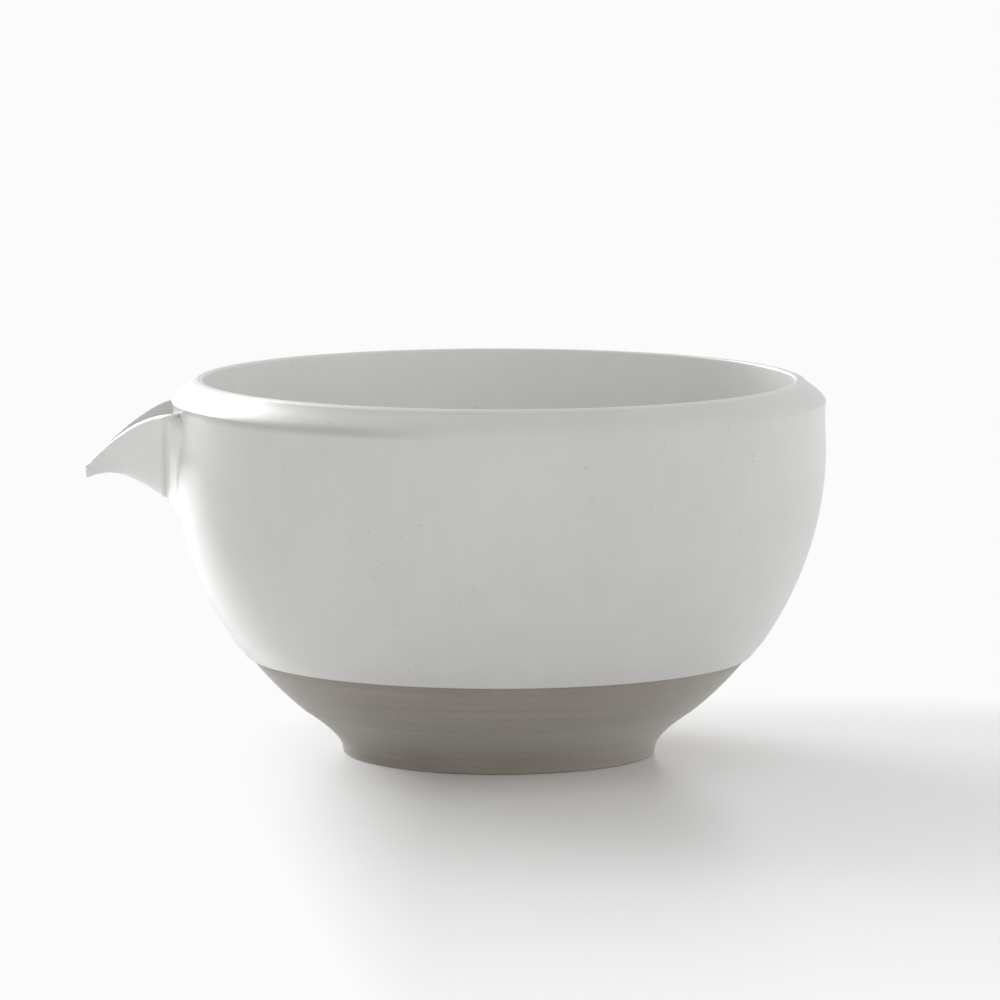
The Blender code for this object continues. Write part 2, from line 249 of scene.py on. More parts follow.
@dataclass(frozen=True)
class GlazeFinish:
    """Satin off-white glaze: faintly cloudy, pinholed, with a skin like eggshell."""

    name: str
    pale: Colour = (0.692, 0.690, 0.676)
    warm: Colour = (0.648, 0.641, 0.620)
    pit: Colour = (0.430, 0.405, 0.365)
    ior: float = 1.5
    roughness: float = 0.33
    roughness_spread: float = 0.06
    coat: float = 0.6
    detail: float = 3.0
    cloud_scale: float = 26.0
    cloud_weight: float = 0.7
    mottle_scale: float = 240.0
    mottle_weight: float = 0.3
    run_stretch: float = 0.6
    shade_low: float = 0.28
    shade_high: float = 0.72
    pit_scale: float = 800.0
    pit_share: float = 0.16
    pit_radius: float = 0.21
    pit_least: float = 0.4
    pit_core: float = 0.5
    pit_depth: float = 0.05 * MM
    pit_tone: float = 0.6
    pit_roughness: float = 0.2
    unpitted_cloud: float = 0.62
    pitted_cloud: float = 0.40
    skin_scale: float = 700.0
    skin_detail: float = 2.0
    skin_depth: float = 0.004 * MM
    # Painted shade: a soft grey line under the rim band, strongest on the spout's side.
    thin_share: float = 0.0
    painted_band_shade_height: float = 70.25 * MM
    painted_band_shade_width: float = 1.5 * MM
    painted_band_shade_from: float = 4.0 * MM
    painted_band_shade_full: float = -22.0 * MM

    @classmethod
    def with_band_shade(cls, name: str) -> "GlazeFinish":
        """The glaze outside, with a soft grey line of painted shade under the rim band."""
        return cls(name, thin_share=0.6)

    # Painted light: the inside glaze is the outside glaze made a shade lighter.
    @classmethod
    def painted_lighter(cls, name: str) -> "GlazeFinish":
        """The glaze inside the bowl with painted light: the same glaze, a shade lighter than
        outside.
        """
        return cls(name, pale=(0.742, 0.740, 0.726), warm=(0.700, 0.693, 0.672))

    # Painted light: the spout's glaze is the same glaze made lighter still.
    @classmethod
    def painted_lightest(cls, name: str) -> "GlazeFinish":
        """The glaze on the spout and its luting with painted light: the same glaze, the lightest of
        all.
        """
        return cls(name, pale=(0.790, 0.788, 0.772), warm=(0.762, 0.755, 0.733))

    def material(self) -> bpy.types.Material:
        """Build the glaze.

        Returns:
            The material.
        """
        material, bench = new_material(self.name)
        place = bench.node("ShaderNodeTexCoord", output="Object")
        cloud = noise(bench, place, self.cloud_scale, self.detail)
        runs = {"Vector": place, "Scale": (1.0, 1.0, self.run_stretch)}
        drawn = bench.node("ShaderNodeMapping", sockets=runs)
        mottle = noise(bench, drawn, self.mottle_scale, self.detail)
        skin = noise(bench, place, self.skin_scale, self.skin_detail)
        pits = self._pits(bench, place, cloud)
        mixed = cloud * self.cloud_weight + mottle * self.mottle_weight
        shade = mixed.ramp(self.shade_low, self.shade_high)
        # Painted shade under the rim band pulls the colour towards the pit colour.
        thin = self._painted_band_shade_line(bench, place)
        body = thin.blend(shade.blend(opaque(self.warm), opaque(self.pale)), opaque(self.pit))
        colour = (pits * self.pit_tone).blend(body, opaque(self.pit))
        height = skin * self.skin_depth - pits * self.pit_depth
        uneven = (mottle - 0.5) * self.roughness_spread
        shader = bench.node(
            "ShaderNodeBsdfPrincipled",
            sockets={
                "Base Color": colour,
                "Roughness": self.roughness + uneven + pits * self.pit_roughness,
                "Normal": bumped(bench, height),
                "IOR": self.ior,
                "Coat Weight": self.coat,
                "Coat Roughness": self.roughness,
            },
        )
        bench.node("ShaderNodeOutputMaterial", sockets={"Surface": shader})
        return material

    def _painted_band_shade_line(self, bench: NodeBench, place: Wire) -> Wire:
        """Paint a soft grey line of shade under the rim band, which fades away from the spout.

        Args:
            bench: The bench of the material.
            place: Place on the piece.

        Returns:
            Share of the painted shade's tone.
        """
        side = bench.node("ShaderNodeSeparateXYZ", sockets={"Vector": place})
        height, middle = side.other("Z"), self.painted_band_shade_height
        above = height.ramp(middle + self.painted_band_shade_width, middle)
        below = height.ramp(middle - self.painted_band_shade_width, middle)
        return above * below * side.ramp(self.painted_band_shade_from, self.painted_band_shade_full) * self.thin_share

    def _pits(self, bench: NodeBench, place: Wire, cloud: Wire) -> Wire:
        """Scatter pinholes, more of them where the glaze is warm.

        Args:
            bench: The bench of the material.
            place: Place on the piece.
            cloud: The cloudy tone of the glaze, low where it is warm.

        Returns:
            1 inside a pit, 0 outside.
        """
        sockets = {"Vector": place, "Scale": self.pit_scale}
        cells = bench.node("ShaderNodeTexVoronoi", sockets=sockets, output="Distance")
        chance = bench.node("ShaderNodeSeparateColor", sockets={"Color": cells.other("Color")})
        least = self.pit_radius * self.pit_least
        radius = chance.other("Green").ramp(0.0, 1.0, least, self.pit_radius)
        share = cloud.ramp(self.unpitted_cloud, self.pitted_cloud, 0.0, self.pit_share)
        inside = cells.ramp(radius, radius * self.pit_core)
        return inside * (share > chance)


@dataclass(frozen=True)
class ClayFinish:
    """Bare stoneware: matt, sandy, with the fine lines that turning leaves."""

    name: str
    pale: Colour = (0.308, 0.272, 0.229)
    dark: Colour = (0.248, 0.218, 0.181)
    grit: Colour = (0.150, 0.125, 0.100)
    roughness: float = 0.80
    dust: float = 0.6
    detail: float = 3.0
    patch_scale: float = 55.0
    patch_detail: float = 4.0
    patch_weight: float = 0.35
    grain_scale: float = 1500.0
    grain_weight: float = 0.25
    grain_depth: float = 0.03 * MM
    grit_from: float = 0.66
    grit_full: float = 0.74
    line_scale: float = 900.0
    line_stretch: float = 0.02
    line_weight: float = 0.40
    line_depth: float = 0.035 * MM
    tone_low: float = 0.36
    tone_high: float = 0.64

    def material(self) -> bpy.types.Material:
        """Build the clay.

        Returns:
            The material.
        """
        material, bench = new_material(self.name)
        place = bench.node("ShaderNodeTexCoord", output="Object")
        flat = (self.line_stretch, self.line_stretch, 1.0)
        along = bench.node("ShaderNodeMapping", sockets={"Vector": place, "Scale": flat})
        lines = noise(bench, along, self.line_scale, self.detail)
        patch = noise(bench, place, self.patch_scale, self.patch_detail)
        grain = noise(bench, place, self.grain_scale, self.detail)
        mixed = lines * self.line_weight + patch * self.patch_weight + grain * self.grain_weight
        tone = mixed.ramp(self.tone_low, self.tone_high)
        grits = grain.ramp(self.grit_from, self.grit_full)
        colour = grits.blend(tone.blend(opaque(self.dark), opaque(self.pale)), opaque(self.grit))
        height = lines * self.line_depth + grain * self.grain_depth
        shader = bench.node(
            "ShaderNodeBsdfPrincipled",
            sockets={
                "Base Color": colour,
                "Roughness": self.roughness,
                "Normal": bumped(bench, height),
                "Sheen Weight": self.dust,
            },
        )
        bench.node("ShaderNodeOutputMaterial", sockets={"Surface": shader})
        return material


def cubic(controls: Sequence[Vector], t: float) -> Vector:
    """Find a point on a cubic curve.

    Args:
        controls: The curve's four control points.
        t: Place along it, from 0 to 1.

    Returns:
        The point.
    """
    start, first, second, end = controls
    s = 1.0 - t
    return start * s**3 + first * (3 * s * s * t) + second * (3 * s * t * t) + end * t**3


def shares(count: int) -> List[float]:
    """Even shares of a run, from its first step to 1."""
    return [step / count for step in range(1, count + 1)]


def eased(share: float) -> float:
    """A share that starts and ends gently."""
    return share * share * (3 - 2 * share)


def cubic_run(controls: Sequence[Vector], count: int) -> List[Vector]:
    """Evenly stepped points along a cubic curve, without its first point."""
    return [cubic(controls, t) for t in shares(count)]


def first_past(reached: Callable[[float], bool], low: float, high: float) -> float:
    """Halve a span until it closes on the value where a test starts to hold.

    Args:
        reached: The test.
        low: A value at which it doesn't hold.
        high: A value at which it holds.

    Returns:
        The value.
    """
    for _ in range(HALVINGS):
        middle = (low + high) / 2
        if reached(middle):
            high = middle
        else:
            low = middle
    return (low + high) / 2


def normals_along(points: Sequence[Vector]) -> List[Vector]:
    """Find the normals of a plane outline.

    Args:
        points: The outline.

    Returns:
        A unit normal for each point, on the right-hand side of the outline's run.
    """
    last = len(points) - 1
    result = []
    for index in range(len(points)):
        run = points[min(index + 1, last)] - points[max(index - 1, 0)]
        result.append(Vector((run.y, -run.x)).normalized())
    return result


def rounded(corners: Sequence[Tuple[Vector, float]], steps: int) -> List[Vector]:
    """Round the corners of an open outline.

    Args:
        corners: The corners, each with the length that its rounding takes on both sides.
        steps: Points in each rounding.

    Returns:
        The outline's points.
    """
    result = [corners[0][0]]
    for index in range(1, len(corners) - 1):
        corner, reach = corners[index]
        entry = corner + (corners[index - 1][0] - corner).normalized() * reach
        leave = corner + (corners[index + 1][0] - corner).normalized() * reach
        for step in range(steps + 1):
            t = step / steps
            result.append(entry * (1 - t) ** 2 + corner * (2 * t * (1 - t)) + leave * t**2)
    result.append(corners[-1][0])
    return result


@dataclass
class ThrownProfile:
    """Outline of the thrown bowl, as (radius, height) points."""

    axis_x: float
    wall_radius: float
    rim_height: float
    coat: float
    rim_band_run: float = 4.6 * MM
    rim_edge_radius: float = 0.2 * MM
    crest_slope: float = math.radians(20.0)
    crest_run: float = 0.9 * MM
    crest_break: float = 0.3 * MM
    bevel_slope: float = math.radians(46.0)
    band_slope: float = math.radians(58.0)
    band_drop: float = 4.2 * MM
    band_swell: float = 0.4 * MM
    cove_rise: float = 2.2 * MM
    cove_curve: float = 2.2
    waist: float = 0.38 * MM
    waist_filled: float = 0.85
    inner_corner: float = 5.0
    upright_foot: float = 60.8 * MM
    belly_slope: float = math.radians(38.8)
    belly_low_pull: float = 0.37
    belly_high_pull: float = 0.32
    flare_run: float = 8.0 * MM
    flare_rise: float = 9.2 * MM
    flare_foot_pull: float = 3.3 * MM
    flare_end_pull: float = 0.4 * MM
    foot_radius: float = 31.2 * MM
    foot_edge_radius: float = 0.9 * MM
    foot_ring_width: float = 6.0 * MM
    foot_recess: float = 3.0 * MM
    recess_slope: float = 1.4 * MM
    floor_height: float = 8.5 * MM
    inner_upright: float = 14.0 * MM
    inner_pull: float = 0.6
    glaze_line: float = 19.9 * MM
    glaze_edge: float = 0.45 * MM
    glaze_edge_rounding: float = 0.4 * MM
    glaze_taper: float = 5.0 * MM
    glaze_sink: float = 0.15 * MM
    faces: Dict[Coat, List[Vector]] = field(default_factory=dict)

    ROUND_STEPS: ClassVar[int] = 6
    FLARE_STEPS: ClassVar[int] = 20
    BARE_STEPS: ClassVar[int] = 10
    EDGE_STEPS: ClassVar[int] = 9
    BELLY_STEPS: ClassVar[int] = 56
    UPRIGHT_STEPS: ClassVar[int] = 20
    COVE_STEPS: ClassVar[int] = 24
    BAND_STEPS: ClassVar[int] = 28
    BREAK_STEPS: ClassVar[int] = 6
    CREST_STEPS: ClassVar[int] = 10
    INNER_STEPS: ClassVar[int] = 12
    FLOOR_STEPS: ClassVar[int] = 72

    @classmethod
    def from_frame(cls) -> "ThrownProfile":
        """Take the bowl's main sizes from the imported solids.

        Returns:
            The profile.
        """
        low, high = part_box("bowl_body")
        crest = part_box("outer_glaze")[1].z
        return cls(
            axis_x=(low.x + high.x) / 2,
            wall_radius=(high.y - low.y) / 2,
            rim_height=high.z,
            coat=crest - high.z,
        )

    @property
    def rim_radius(self) -> float:
        """Radius of the crest of the rim."""
        return self.wall_radius - self.rim_band_run

    @property
    def inner_radius(self) -> float:
        """Radius of the inside wall, on the clay."""
        return self.rim_radius - self.rim_edge_radius

    def crest_point(self, angle: float, lift: float = 0.0) -> Vector:
        """Find a point on the rounded crest, or over it.

        Args:
            angle: Its angle outwards from the top.
            lift: Its height over the clay.

        Returns:
            The point.
        """
        radius = self.rim_edge_radius + lift
        middle = Vector((self.rim_radius, self.rim_height - self.rim_edge_radius))
        return middle + Vector((math.sin(angle), math.cos(angle))) * radius

    def belly(self) -> Tuple[Vector, Vector, Vector, Vector]:
        """Draw the convex belly.

        Returns:
            Its control points, from the flare up to the upright wall.
        """
        low = Vector((self.foot_radius + self.flare_run, self.flare_rise))
        high = Vector((self.wall_radius, self.upright_foot))
        span = (high - low).length
        leave = Vector((math.cos(self.belly_slope), math.sin(self.belly_slope)))
        below = high - Vector((0.0, span * self.belly_high_pull))
        return low, low + leave * span * self.belly_low_pull, below, high

    def glaze_place(self) -> float:
        """Place along the belly where the glaze ends."""
        belly = self.belly()
        return first_past(lambda t: cubic(belly, t).y > self.glaze_line, 0.0, 1.0)

    def foot(self) -> List[Vector]:
        """Draw the underside and the flare.

        Returns:
            The outline, from the axis to the foot of the belly.
        """
        ring = self.foot_radius - self.foot_ring_width
        start = Vector((self.foot_radius, self.foot_edge_radius))
        corners = [
            (Vector((0.0, self.foot_recess)), 0.0),
            (Vector((ring - self.recess_slope, self.foot_recess)), self.foot_edge_radius),
            (Vector((ring, 0.0)), self.foot_edge_radius / 2),
            (Vector((self.foot_radius, 0.0)), self.foot_edge_radius),
            (start, 0.0),
        ]
        under = rounded(corners, self.ROUND_STEPS)[:-1]
        belly = self.belly()
        lean = (belly[1] - belly[0]).normalized()
        rise = start + Vector((0.0, self.flare_foot_pull))
        flare = (start, rise, belly[0] - lean * self.flare_end_pull, belly[0])
        return under + cubic_run(flare, self.FLARE_STEPS)

    def skin(self) -> List[Vector]:
        """Face of the outside glaze at its full thickness, from the glaze line to the crest."""
        outline = self._belly_face() + self.upright()
        return outline + self._rim_face(outline[-1])

    def _belly_face(self) -> List[Vector]:
        """Draw the face of the glaze up the belly.

        Returns:
            The outline, with close steps at the glaze's rounded edge.
        """
        belly, line = self.belly(), self.glaze_place()
        edge = self.glaze_edge_rounding / (belly[3] - belly[0]).length
        steps = range(self.EDGE_STEPS + 1)
        places = [line + edge * (step / self.EDGE_STEPS) ** 2 for step in steps]
        places += [line + edge + (1.0 - line - edge) * share for share in shares(self.BELLY_STEPS)]
        clay = [cubic(belly, t) for t in places]
        return [point + normal * self.coat for point, normal in zip(clay, normals_along(clay))]

    def _rim_face(self, edge: Vector) -> List[Vector]:
        """Draw the face of the glaze over the rim.

        Args:
            edge: Lower edge of the rim band.

        Returns:
            The outline, from above that edge to the top of the crest.
        """
        down = Vector((math.cos(self.bevel_slope), -math.sin(self.bevel_slope)))
        out = Vector((math.cos(self.crest_slope), -math.sin(self.crest_slope)))
        corner = self.crest_point(self.crest_slope, self.coat) + out * self.crest_run
        below, above = corner + down * self.crest_break, corner - out * self.crest_break
        pull = (below - edge).length / 3
        leave = edge + Vector((-math.cos(self.band_slope), math.sin(self.band_slope))) * pull
        outline = cubic_run((edge, leave, below + down * pull, below), self.BAND_STEPS)
        outline += cubic_run((below, corner, corner, above), self.BREAK_STEPS)
        turns = [self.crest_slope * (1.0 - share) for share in [0.0] + shares(self.CREST_STEPS)]
        return outline + [self.crest_point(angle, self.coat) for angle in turns]

    def draws(self) -> List[float]:
        """Work out how far the upright wall is drawn in.

        Returns:
            What each step takes from its radius: most in the cove under the rim band.
        """
        drawn = [self.waist * eased(share) for share in shares(self.UPRIGHT_STEPS)]
        coves = shares(self.COVE_STEPS)
        return drawn + [self.waist * (1.0 - share**self.cove_curve) for share in coves]

    def upright(self) -> List[Vector]:
        """Draw the face of the glaze on the upright wall.

        Returns:
            The outline, from the top of the belly to the lower edge of the rim band.
        """
        low = self.rim_height + self.coat - self.band_drop - self.cove_rise
        rise = low - self.upright_foot
        heights = [self.upright_foot + rise * share for share in shares(self.UPRIGHT_STEPS)]
        heights += [low + self.cove_rise * share for share in shares(self.COVE_STEPS)]
        face = self.wall_radius + self.coat
        return [Vector((face - draw, height)) for draw, height in zip(self.draws(), heights)]

    def swell(self) -> List[float]:
        """Work out how much fuller the outside is on the rim's full side.

        Returns:
            What each point of the skin gains in radius.
        """
        filled = [self.waist_filled * draw for draw in self.draws()]
        arcs = [math.sin(math.pi * share) ** 2 for share in shares(self.BAND_STEPS)]
        band = [self.band_swell * arc for arc in arcs]
        rim = filled + band + [0.0] * (self.BREAK_STEPS + self.CREST_STEPS + 1)
        return [0.0] * (len(self.skin()) - len(rim)) + rim

    def wall(self) -> List[Vector]:
        """Outside of the clay under the glaze, from the glaze line up to the crest."""
        skin = self.skin()
        return [point - normal * self.coat for point, normal in zip(skin, normals_along(skin))]

    def inside(self) -> List[Vector]:
        """Draw the inside of the clay.

        Returns:
            The outline, from the crest to the middle of the floor.
        """
        turns = [-math.pi / 2 * share for share in [0.0] + shares(self.CREST_STEPS)]
        outline = [self.crest_point(angle) for angle in turns]
        top = outline[-1].y
        foot = top - self.inner_upright
        heights = [top + (foot - top) * share for share in shares(self.INNER_STEPS)]
        outline += [Vector((self.inner_radius, height)) for height in heights]
        controls = (
            Vector((self.inner_radius, foot)),
            Vector((self.inner_radius, foot - (foot - self.floor_height) * self.inner_pull)),
            Vector((self.foot_radius + self.flare_run, self.floor_height)),
            Vector((0.0, self.floor_height)),
        )
        return outline + cubic_run(controls, self.FLOOR_STEPS)

    def clay(self) -> List[Vector]:
        """Draw the whole clay body.

        Returns:
            The outline, from the middle of the underside round to the middle of the floor.
        """
        belly, line = self.belly(), self.glaze_place()
        lower = [cubic(belly, line * share) for share in shares(self.BARE_STEPS)[:-1]]
        wall = self.wall()
        for point, before in zip(wall[1:], wall):
            point.y = max(point.y, before.y)
        return self.foot() + lower + wall + self.inside()[1:]

    def coat_thickness(self, along: float) -> float:
        """Work out how thick the outside glaze is.

        Args:
            along: Length up from its edge.

        Returns:
            The thickness.
        """
        share = min(along / self.glaze_taper, 1.0)
        body = self.glaze_edge + (self.coat - self.glaze_edge) * eased(share)
        lift = min(along / self.glaze_edge_rounding, 1.0)
        return body * math.sqrt(1.0 - (1.0 - lift) ** 2)

    def inner_thickness(self, index: int) -> float:
        """Work out how thick the inside glaze is, which fills the rim's inner corner.

        Args:
            index: Index of a point of the inside.

        Returns:
            The thickness.
        """
        if index > self.CREST_STEPS:
            return self.coat
        angle = math.pi / 2 * index / self.CREST_STEPS
        power = self.inner_corner
        spread = (math.cos(angle) ** power + math.sin(angle) ** power) ** (-1.0 / power)
        return (self.rim_edge_radius + self.coat) * spread - self.rim_edge_radius

    def shell(self, coat: Coat) -> List[Vector]:
        """Draw one glaze coat.

        Args:
            coat: The coat.

        Returns:
            The closed outline: its face, then its back, sunk into the clay.
        """
        outside = coat is Coat.OUTSIDE
        points = self.wall() if outside else self.inside()
        normals = normals_along(self.skin() if outside else points)
        face, along = [], 0.0
        for index, point in enumerate(points):
            along += (point - points[max(index - 1, 0)]).length
            depth = self.coat_thickness(along) if outside else self.inner_thickness(index)
            face.append(point + normals[index] * depth)
        back = [point - normal * self.glaze_sink for point, normal in zip(points, normals)]
        for point in face + back:
            point.x = max(point.x, 0.0)
        return face + back[::-1] + [face[0]]

    def glazed_radius(self, height: float, coat: Coat = Coat.OUTSIDE) -> float:
        """Measure one glazed face.

        Args:
            height: Height over the table.
            coat: The coat whose face it is.

        Returns:
            Radius of the face at that height.
        """
        outline = self._face(coat)
        for one, other in zip(outline, outline[1:]):
            if one.y != other.y and min(one.y, other.y) <= height <= max(one.y, other.y):
                return one.x + (other.x - one.x) * (height - one.y) / (other.y - one.y)
        return outline[-1].x

    def _face(self, coat: Coat) -> List[Vector]:
        """Work out the face of one coat, once.

        Args:
            coat: The coat.

        Returns:
            The face's outline.
        """
        if coat not in self.faces:
            shell = self.shell(coat)
            self.faces[coat] = shell[: (len(shell) - 1) // 2]
        return self.faces[coat]


class TurningWheel:
    """Geometry Nodes that turn an outline round the bowl's axis."""

    INPUTS = (
        ("Profile", "NodeSocketGeometry"),
        ("Turn Steps", "NodeSocketInt"),
        ("Axis X", "NodeSocketFloat"),
        ("Full Side", "NodeSocketFloat"),
        ("Wobble", "NodeSocketFloat"),
        ("Wobble Scale", "NodeSocketFloat"),
        ("Weld", "NodeSocketFloat"),
        ("Finish", "NodeSocketMaterial"),
    )
    # Points nearer to the axis than ON_AXIS are put on it. The wobble in height fades from
    # EVEN_MIDDLE inwards, and there is none on the axis.
    ON_AXIS = 0.01 * MM
    EVEN_MIDDLE = 20.0 * MM
    # Scale of the heights in the wobble, which is laid on a circle of radius 1.
    HEIGHT_SCALE = 20.0
    WOBBLE_DETAIL = 1.0
    # Shift that makes the wobble in height another one than the wobble in radius.
    HEIGHT_SHIFT = 5.0
    # The full side starts and is complete at these cosines of the angle from its middle.
    FULL_FROM = 0.45
    FULL_TO = 0.75

    def __init__(self) -> None:
        """Build the tree."""
        self.tree = bpy.data.node_groups.new("turning_wheel", "GeometryNodeTree")
        self.keys: Dict[str, str] = {}
        for name, kind in self.INPUTS:
            socket = self.tree.interface.new_socket(name, in_out="INPUT", socket_type=kind)
            self.keys[name] = socket.identifier
        self.tree.interface.new_socket("Piece", in_out="OUTPUT", socket_type="NodeSocketGeometry")
        self._lay_out(NodeBench(self.tree))

    def _lay_out(self, bench: NodeBench) -> None:
        """Add the nodes: a grid that is bent round the axis, made uneven and welded.

        Args:
            bench: The bench of the tree.
        """
        given = bench.node("NodeGroupInput", output="Profile")
        count = bench.node("GeometryNodeAttributeDomainSize", sockets={"Geometry": given})
        size = {"Vertices X": count, "Vertices Y": given.other("Turn Steps") + 1.0}
        grid = bench.node("GeometryNodeMeshGrid", sockets=size)
        place = bench.node("ShaderNodeSeparateXYZ", sockets={"Vector": grid.other("UV Map")})
        row = (place * (count - 1.0)).turn("ROUND")
        sample = bench.node(
            "GeometryNodeSampleIndex",
            {"data_type": "FLOAT_VECTOR", "domain": "POINT"},
            {"Geometry": given, "Value": bench.node("GeometryNodeInputPosition"), "Index": row},
        )
        outline = bench.node("ShaderNodeSeparateXYZ", sockets={"Vector": sample})
        angle = place.other("Y") * math.tau
        across, along = angle.turn("COSINE"), angle.turn("SINE")
        height = outline.other("Z")
        ring = {"X": across, "Y": along, "Z": height * self.HEIGHT_SCALE}
        around = bench.node("ShaderNodeCombineXYZ", sockets=ring)
        reach = self._wobble(bench, given, around, 0.0)
        rise = self._wobble(bench, given, around, self.HEIGHT_SHIFT) * height
        rise *= outline.ramp(0.0, self.EVEN_MIDDLE)
        turned_away = (angle - given.other("Full Side")).turn("COSINE")
        full = turned_away.ramp(self.FULL_FROM, self.FULL_TO)
        radius = (outline + outline.other("Y") * full) * (reach + 1.0) * (outline > self.ON_AXIS)
        turned = {
            "X": given.other("Axis X") + radius * across,
            "Y": radius * along,
            "Z": height + rise,
        }
        spot = bench.node("ShaderNodeCombineXYZ", sockets=turned)
        bent = bench.node("GeometryNodeSetPosition", sockets={"Geometry": grid, "Position": spot})
        near = {"Geometry": bent, "Distance": given.other("Weld")}
        welded = bench.node("GeometryNodeMergeByDistance", sockets=near)
        smooth = bench.node("GeometryNodeSetShadeSmooth", sockets={"Geometry": welded})
        plain = bench.node("GeometryNodeRealizeInstances", sockets={"Geometry": smooth})
        finish = {"Geometry": plain, "Material": given.other("Finish")}
        dressed = bench.node("GeometryNodeSetMaterial", sockets=finish)
        bench.node("NodeGroupOutput", sockets={"Piece": dressed})

    def _wobble(self, bench: NodeBench, given: Wire, around: Wire, shift: float) -> Wire:
        """Work out how far a hand-thrown wall falls short of the true round.

        Args:
            bench: The bench of the tree.
            given: The tree's inputs.
            around: Place round the bowl.
            shift: Shift that picks one wobble of several.

        Returns:
            The share, from minus the full wobble to 0.
        """
        shifted = {0: around, 1: (shift, shift, 0.0)}
        moved = bench.node("ShaderNodeVectorMath", {"operation": "ADD"}, shifted)
        uneven = noise(bench, moved, given.other("Wobble Scale"), self.WOBBLE_DETAIL)
        return (uneven - 1.0) * given.other("Wobble")

    def turn(
        self,
        name: str,
        outline: Sequence[Vector],
        swell: Sequence[float],
        values: Dict[str, object],
    ) -> bpy.types.Mesh:
        """Turn an outline into a plain mesh.

        Args:
            name: Name of the mesh.
            outline: Points of (radius, height).
            swell: What the first points gain in radius on the full side.
            values: Values of the tree's named inputs.

        Returns:
            The turned mesh, welded; its faces are turned outwards later, by close_up.
        """
        profile = bpy.data.meshes.new(name + "_outline")
        runs = [(index, index + 1) for index in range(len(outline) - 1)]
        gains = list(swell) + [0.0] * (len(outline) - len(swell))
        spots = [(spot.x, gain, spot.y) for spot, gain in zip(outline, gains)]
        profile.from_pydata(spots, runs, [])
        blank = bpy.data.objects.new(name + "_blank", profile)
        bpy.context.scene.collection.objects.link(blank)
        wheel = blank.modifiers.new("wheel", "NODES")
        wheel.node_group = self.tree
        for key, value in values.items():
            wheel[self.keys[key]] = value
        graph = bpy.context.evaluated_depsgraph_get()
        mesh = bpy.data.meshes.new_from_object(blank.evaluated_get(graph), depsgraph=graph)
        mesh.name = name
        bpy.data.objects.remove(blank, do_unlink=True)
        return mesh


def close_up(bm: bmesh.types.BMesh) -> None:
    """Weld a mesh, drop its loose edges and turn its faces outwards.

    Args:
        bm: The mesh.
    """
    bmesh.ops.remove_doubles(bm, verts=bm.verts, dist=WELD)
    bmesh.ops.dissolve_degenerate(bm, edges=bm.edges, dist=WELD / 10)
    loose = [edge for edge in bm.edges if not edge.link_faces]
    bmesh.ops.delete(bm, geom=loose, context="EDGES")
    stray = [vert for vert in bm.verts if not vert.link_faces]
    bmesh.ops.delete(bm, geom=stray, context="VERTS")
    bmesh.ops.recalc_face_normals(bm, faces=bm.faces)


def finish_piece(
    name: str,
    bm: bmesh.types.BMesh,
    material: bpy.types.Material,
    node: Optional[str] = None,
) -> None:
    """Make a piece from a bmesh and hang it on the frame.

    Args:
        name: The piece's name.
        bm: Its mesh, in place, which is used up.
        material: Its finish.
        node: The solid that it replaces, if it replaces one.
    """
    close_up(bm)
    mesh = bpy.data.meshes.new(name)
    bm.to_mesh(mesh)
    bm.free()
    mesh.materials.clear()
    mesh.materials.append(material)
    mesh.shade_smooth()
    mesh.set_sharp_from_angle(angle=SHARP_ANGLE)
    piece = bpy.data.objects.new(name, mesh)
    bpy.context.scene.collection.objects.link(piece)
    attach(piece, BODY)
    if node:
        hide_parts(node)
    LOG.info("%s: %d faces, in place of %s", name, len(mesh.polygons), node or "no solid")


def loft(sections: Sequence[Sequence[Vector]], ends: Ends = Ends.CAPPED) -> bmesh.types.BMesh:
    """Join a run of matching closed outlines into one skin.

    Args:
        sections: The outlines.
        ends: What becomes of the first and the last outline.

    Returns:
        The skin.
    """
    bm = bmesh.new()
    rings = [[bm.verts.new(point) for point in section] for section in sections]
    for ring, following in zip(rings, rings[1:] + (rings[:1] if ends is Ends.JOINED else [])):
        for index in range(len(ring)):
            after = (index + 1) % len(ring)
            bm.faces.new((ring[index], ring[after], following[after], following[index]))
    if ends is Ends.CAPPED:
        caps = [bm.faces.new(rings[0]), bm.faces.new(rings[-1])]
        bmesh.ops.triangulate(bm, faces=caps)
    return bm


def pierced(bm: bmesh.types.BMesh, tool: bmesh.types.BMesh) -> bmesh.types.BMesh:
    """Cut the shape of a tool out of a piece.

    Args:
        bm: The piece, which is used up.
        tool: The tool, which is used up.

    Returns:
        The cut piece.
    """
    items = []
    for name, shape in (("uncut", bm), ("tool", tool)):
        close_up(shape)
        mesh = bpy.data.meshes.new(name)
        shape.to_mesh(mesh)
        shape.free()
        items.append(bpy.data.objects.new(name, mesh))
        bpy.context.scene.collection.objects.link(items[-1])
    cut = items[0].modifiers.new("cut", "BOOLEAN")
    cut.operation, cut.solver, cut.object = "DIFFERENCE", "EXACT", items[1]
    graph = bpy.context.evaluated_depsgraph_get()
    result = bmesh.new()
    result.from_mesh(items[0].evaluated_get(graph).to_mesh())
    for item in items:
        bpy.data.objects.remove(item, do_unlink=True)
    return result


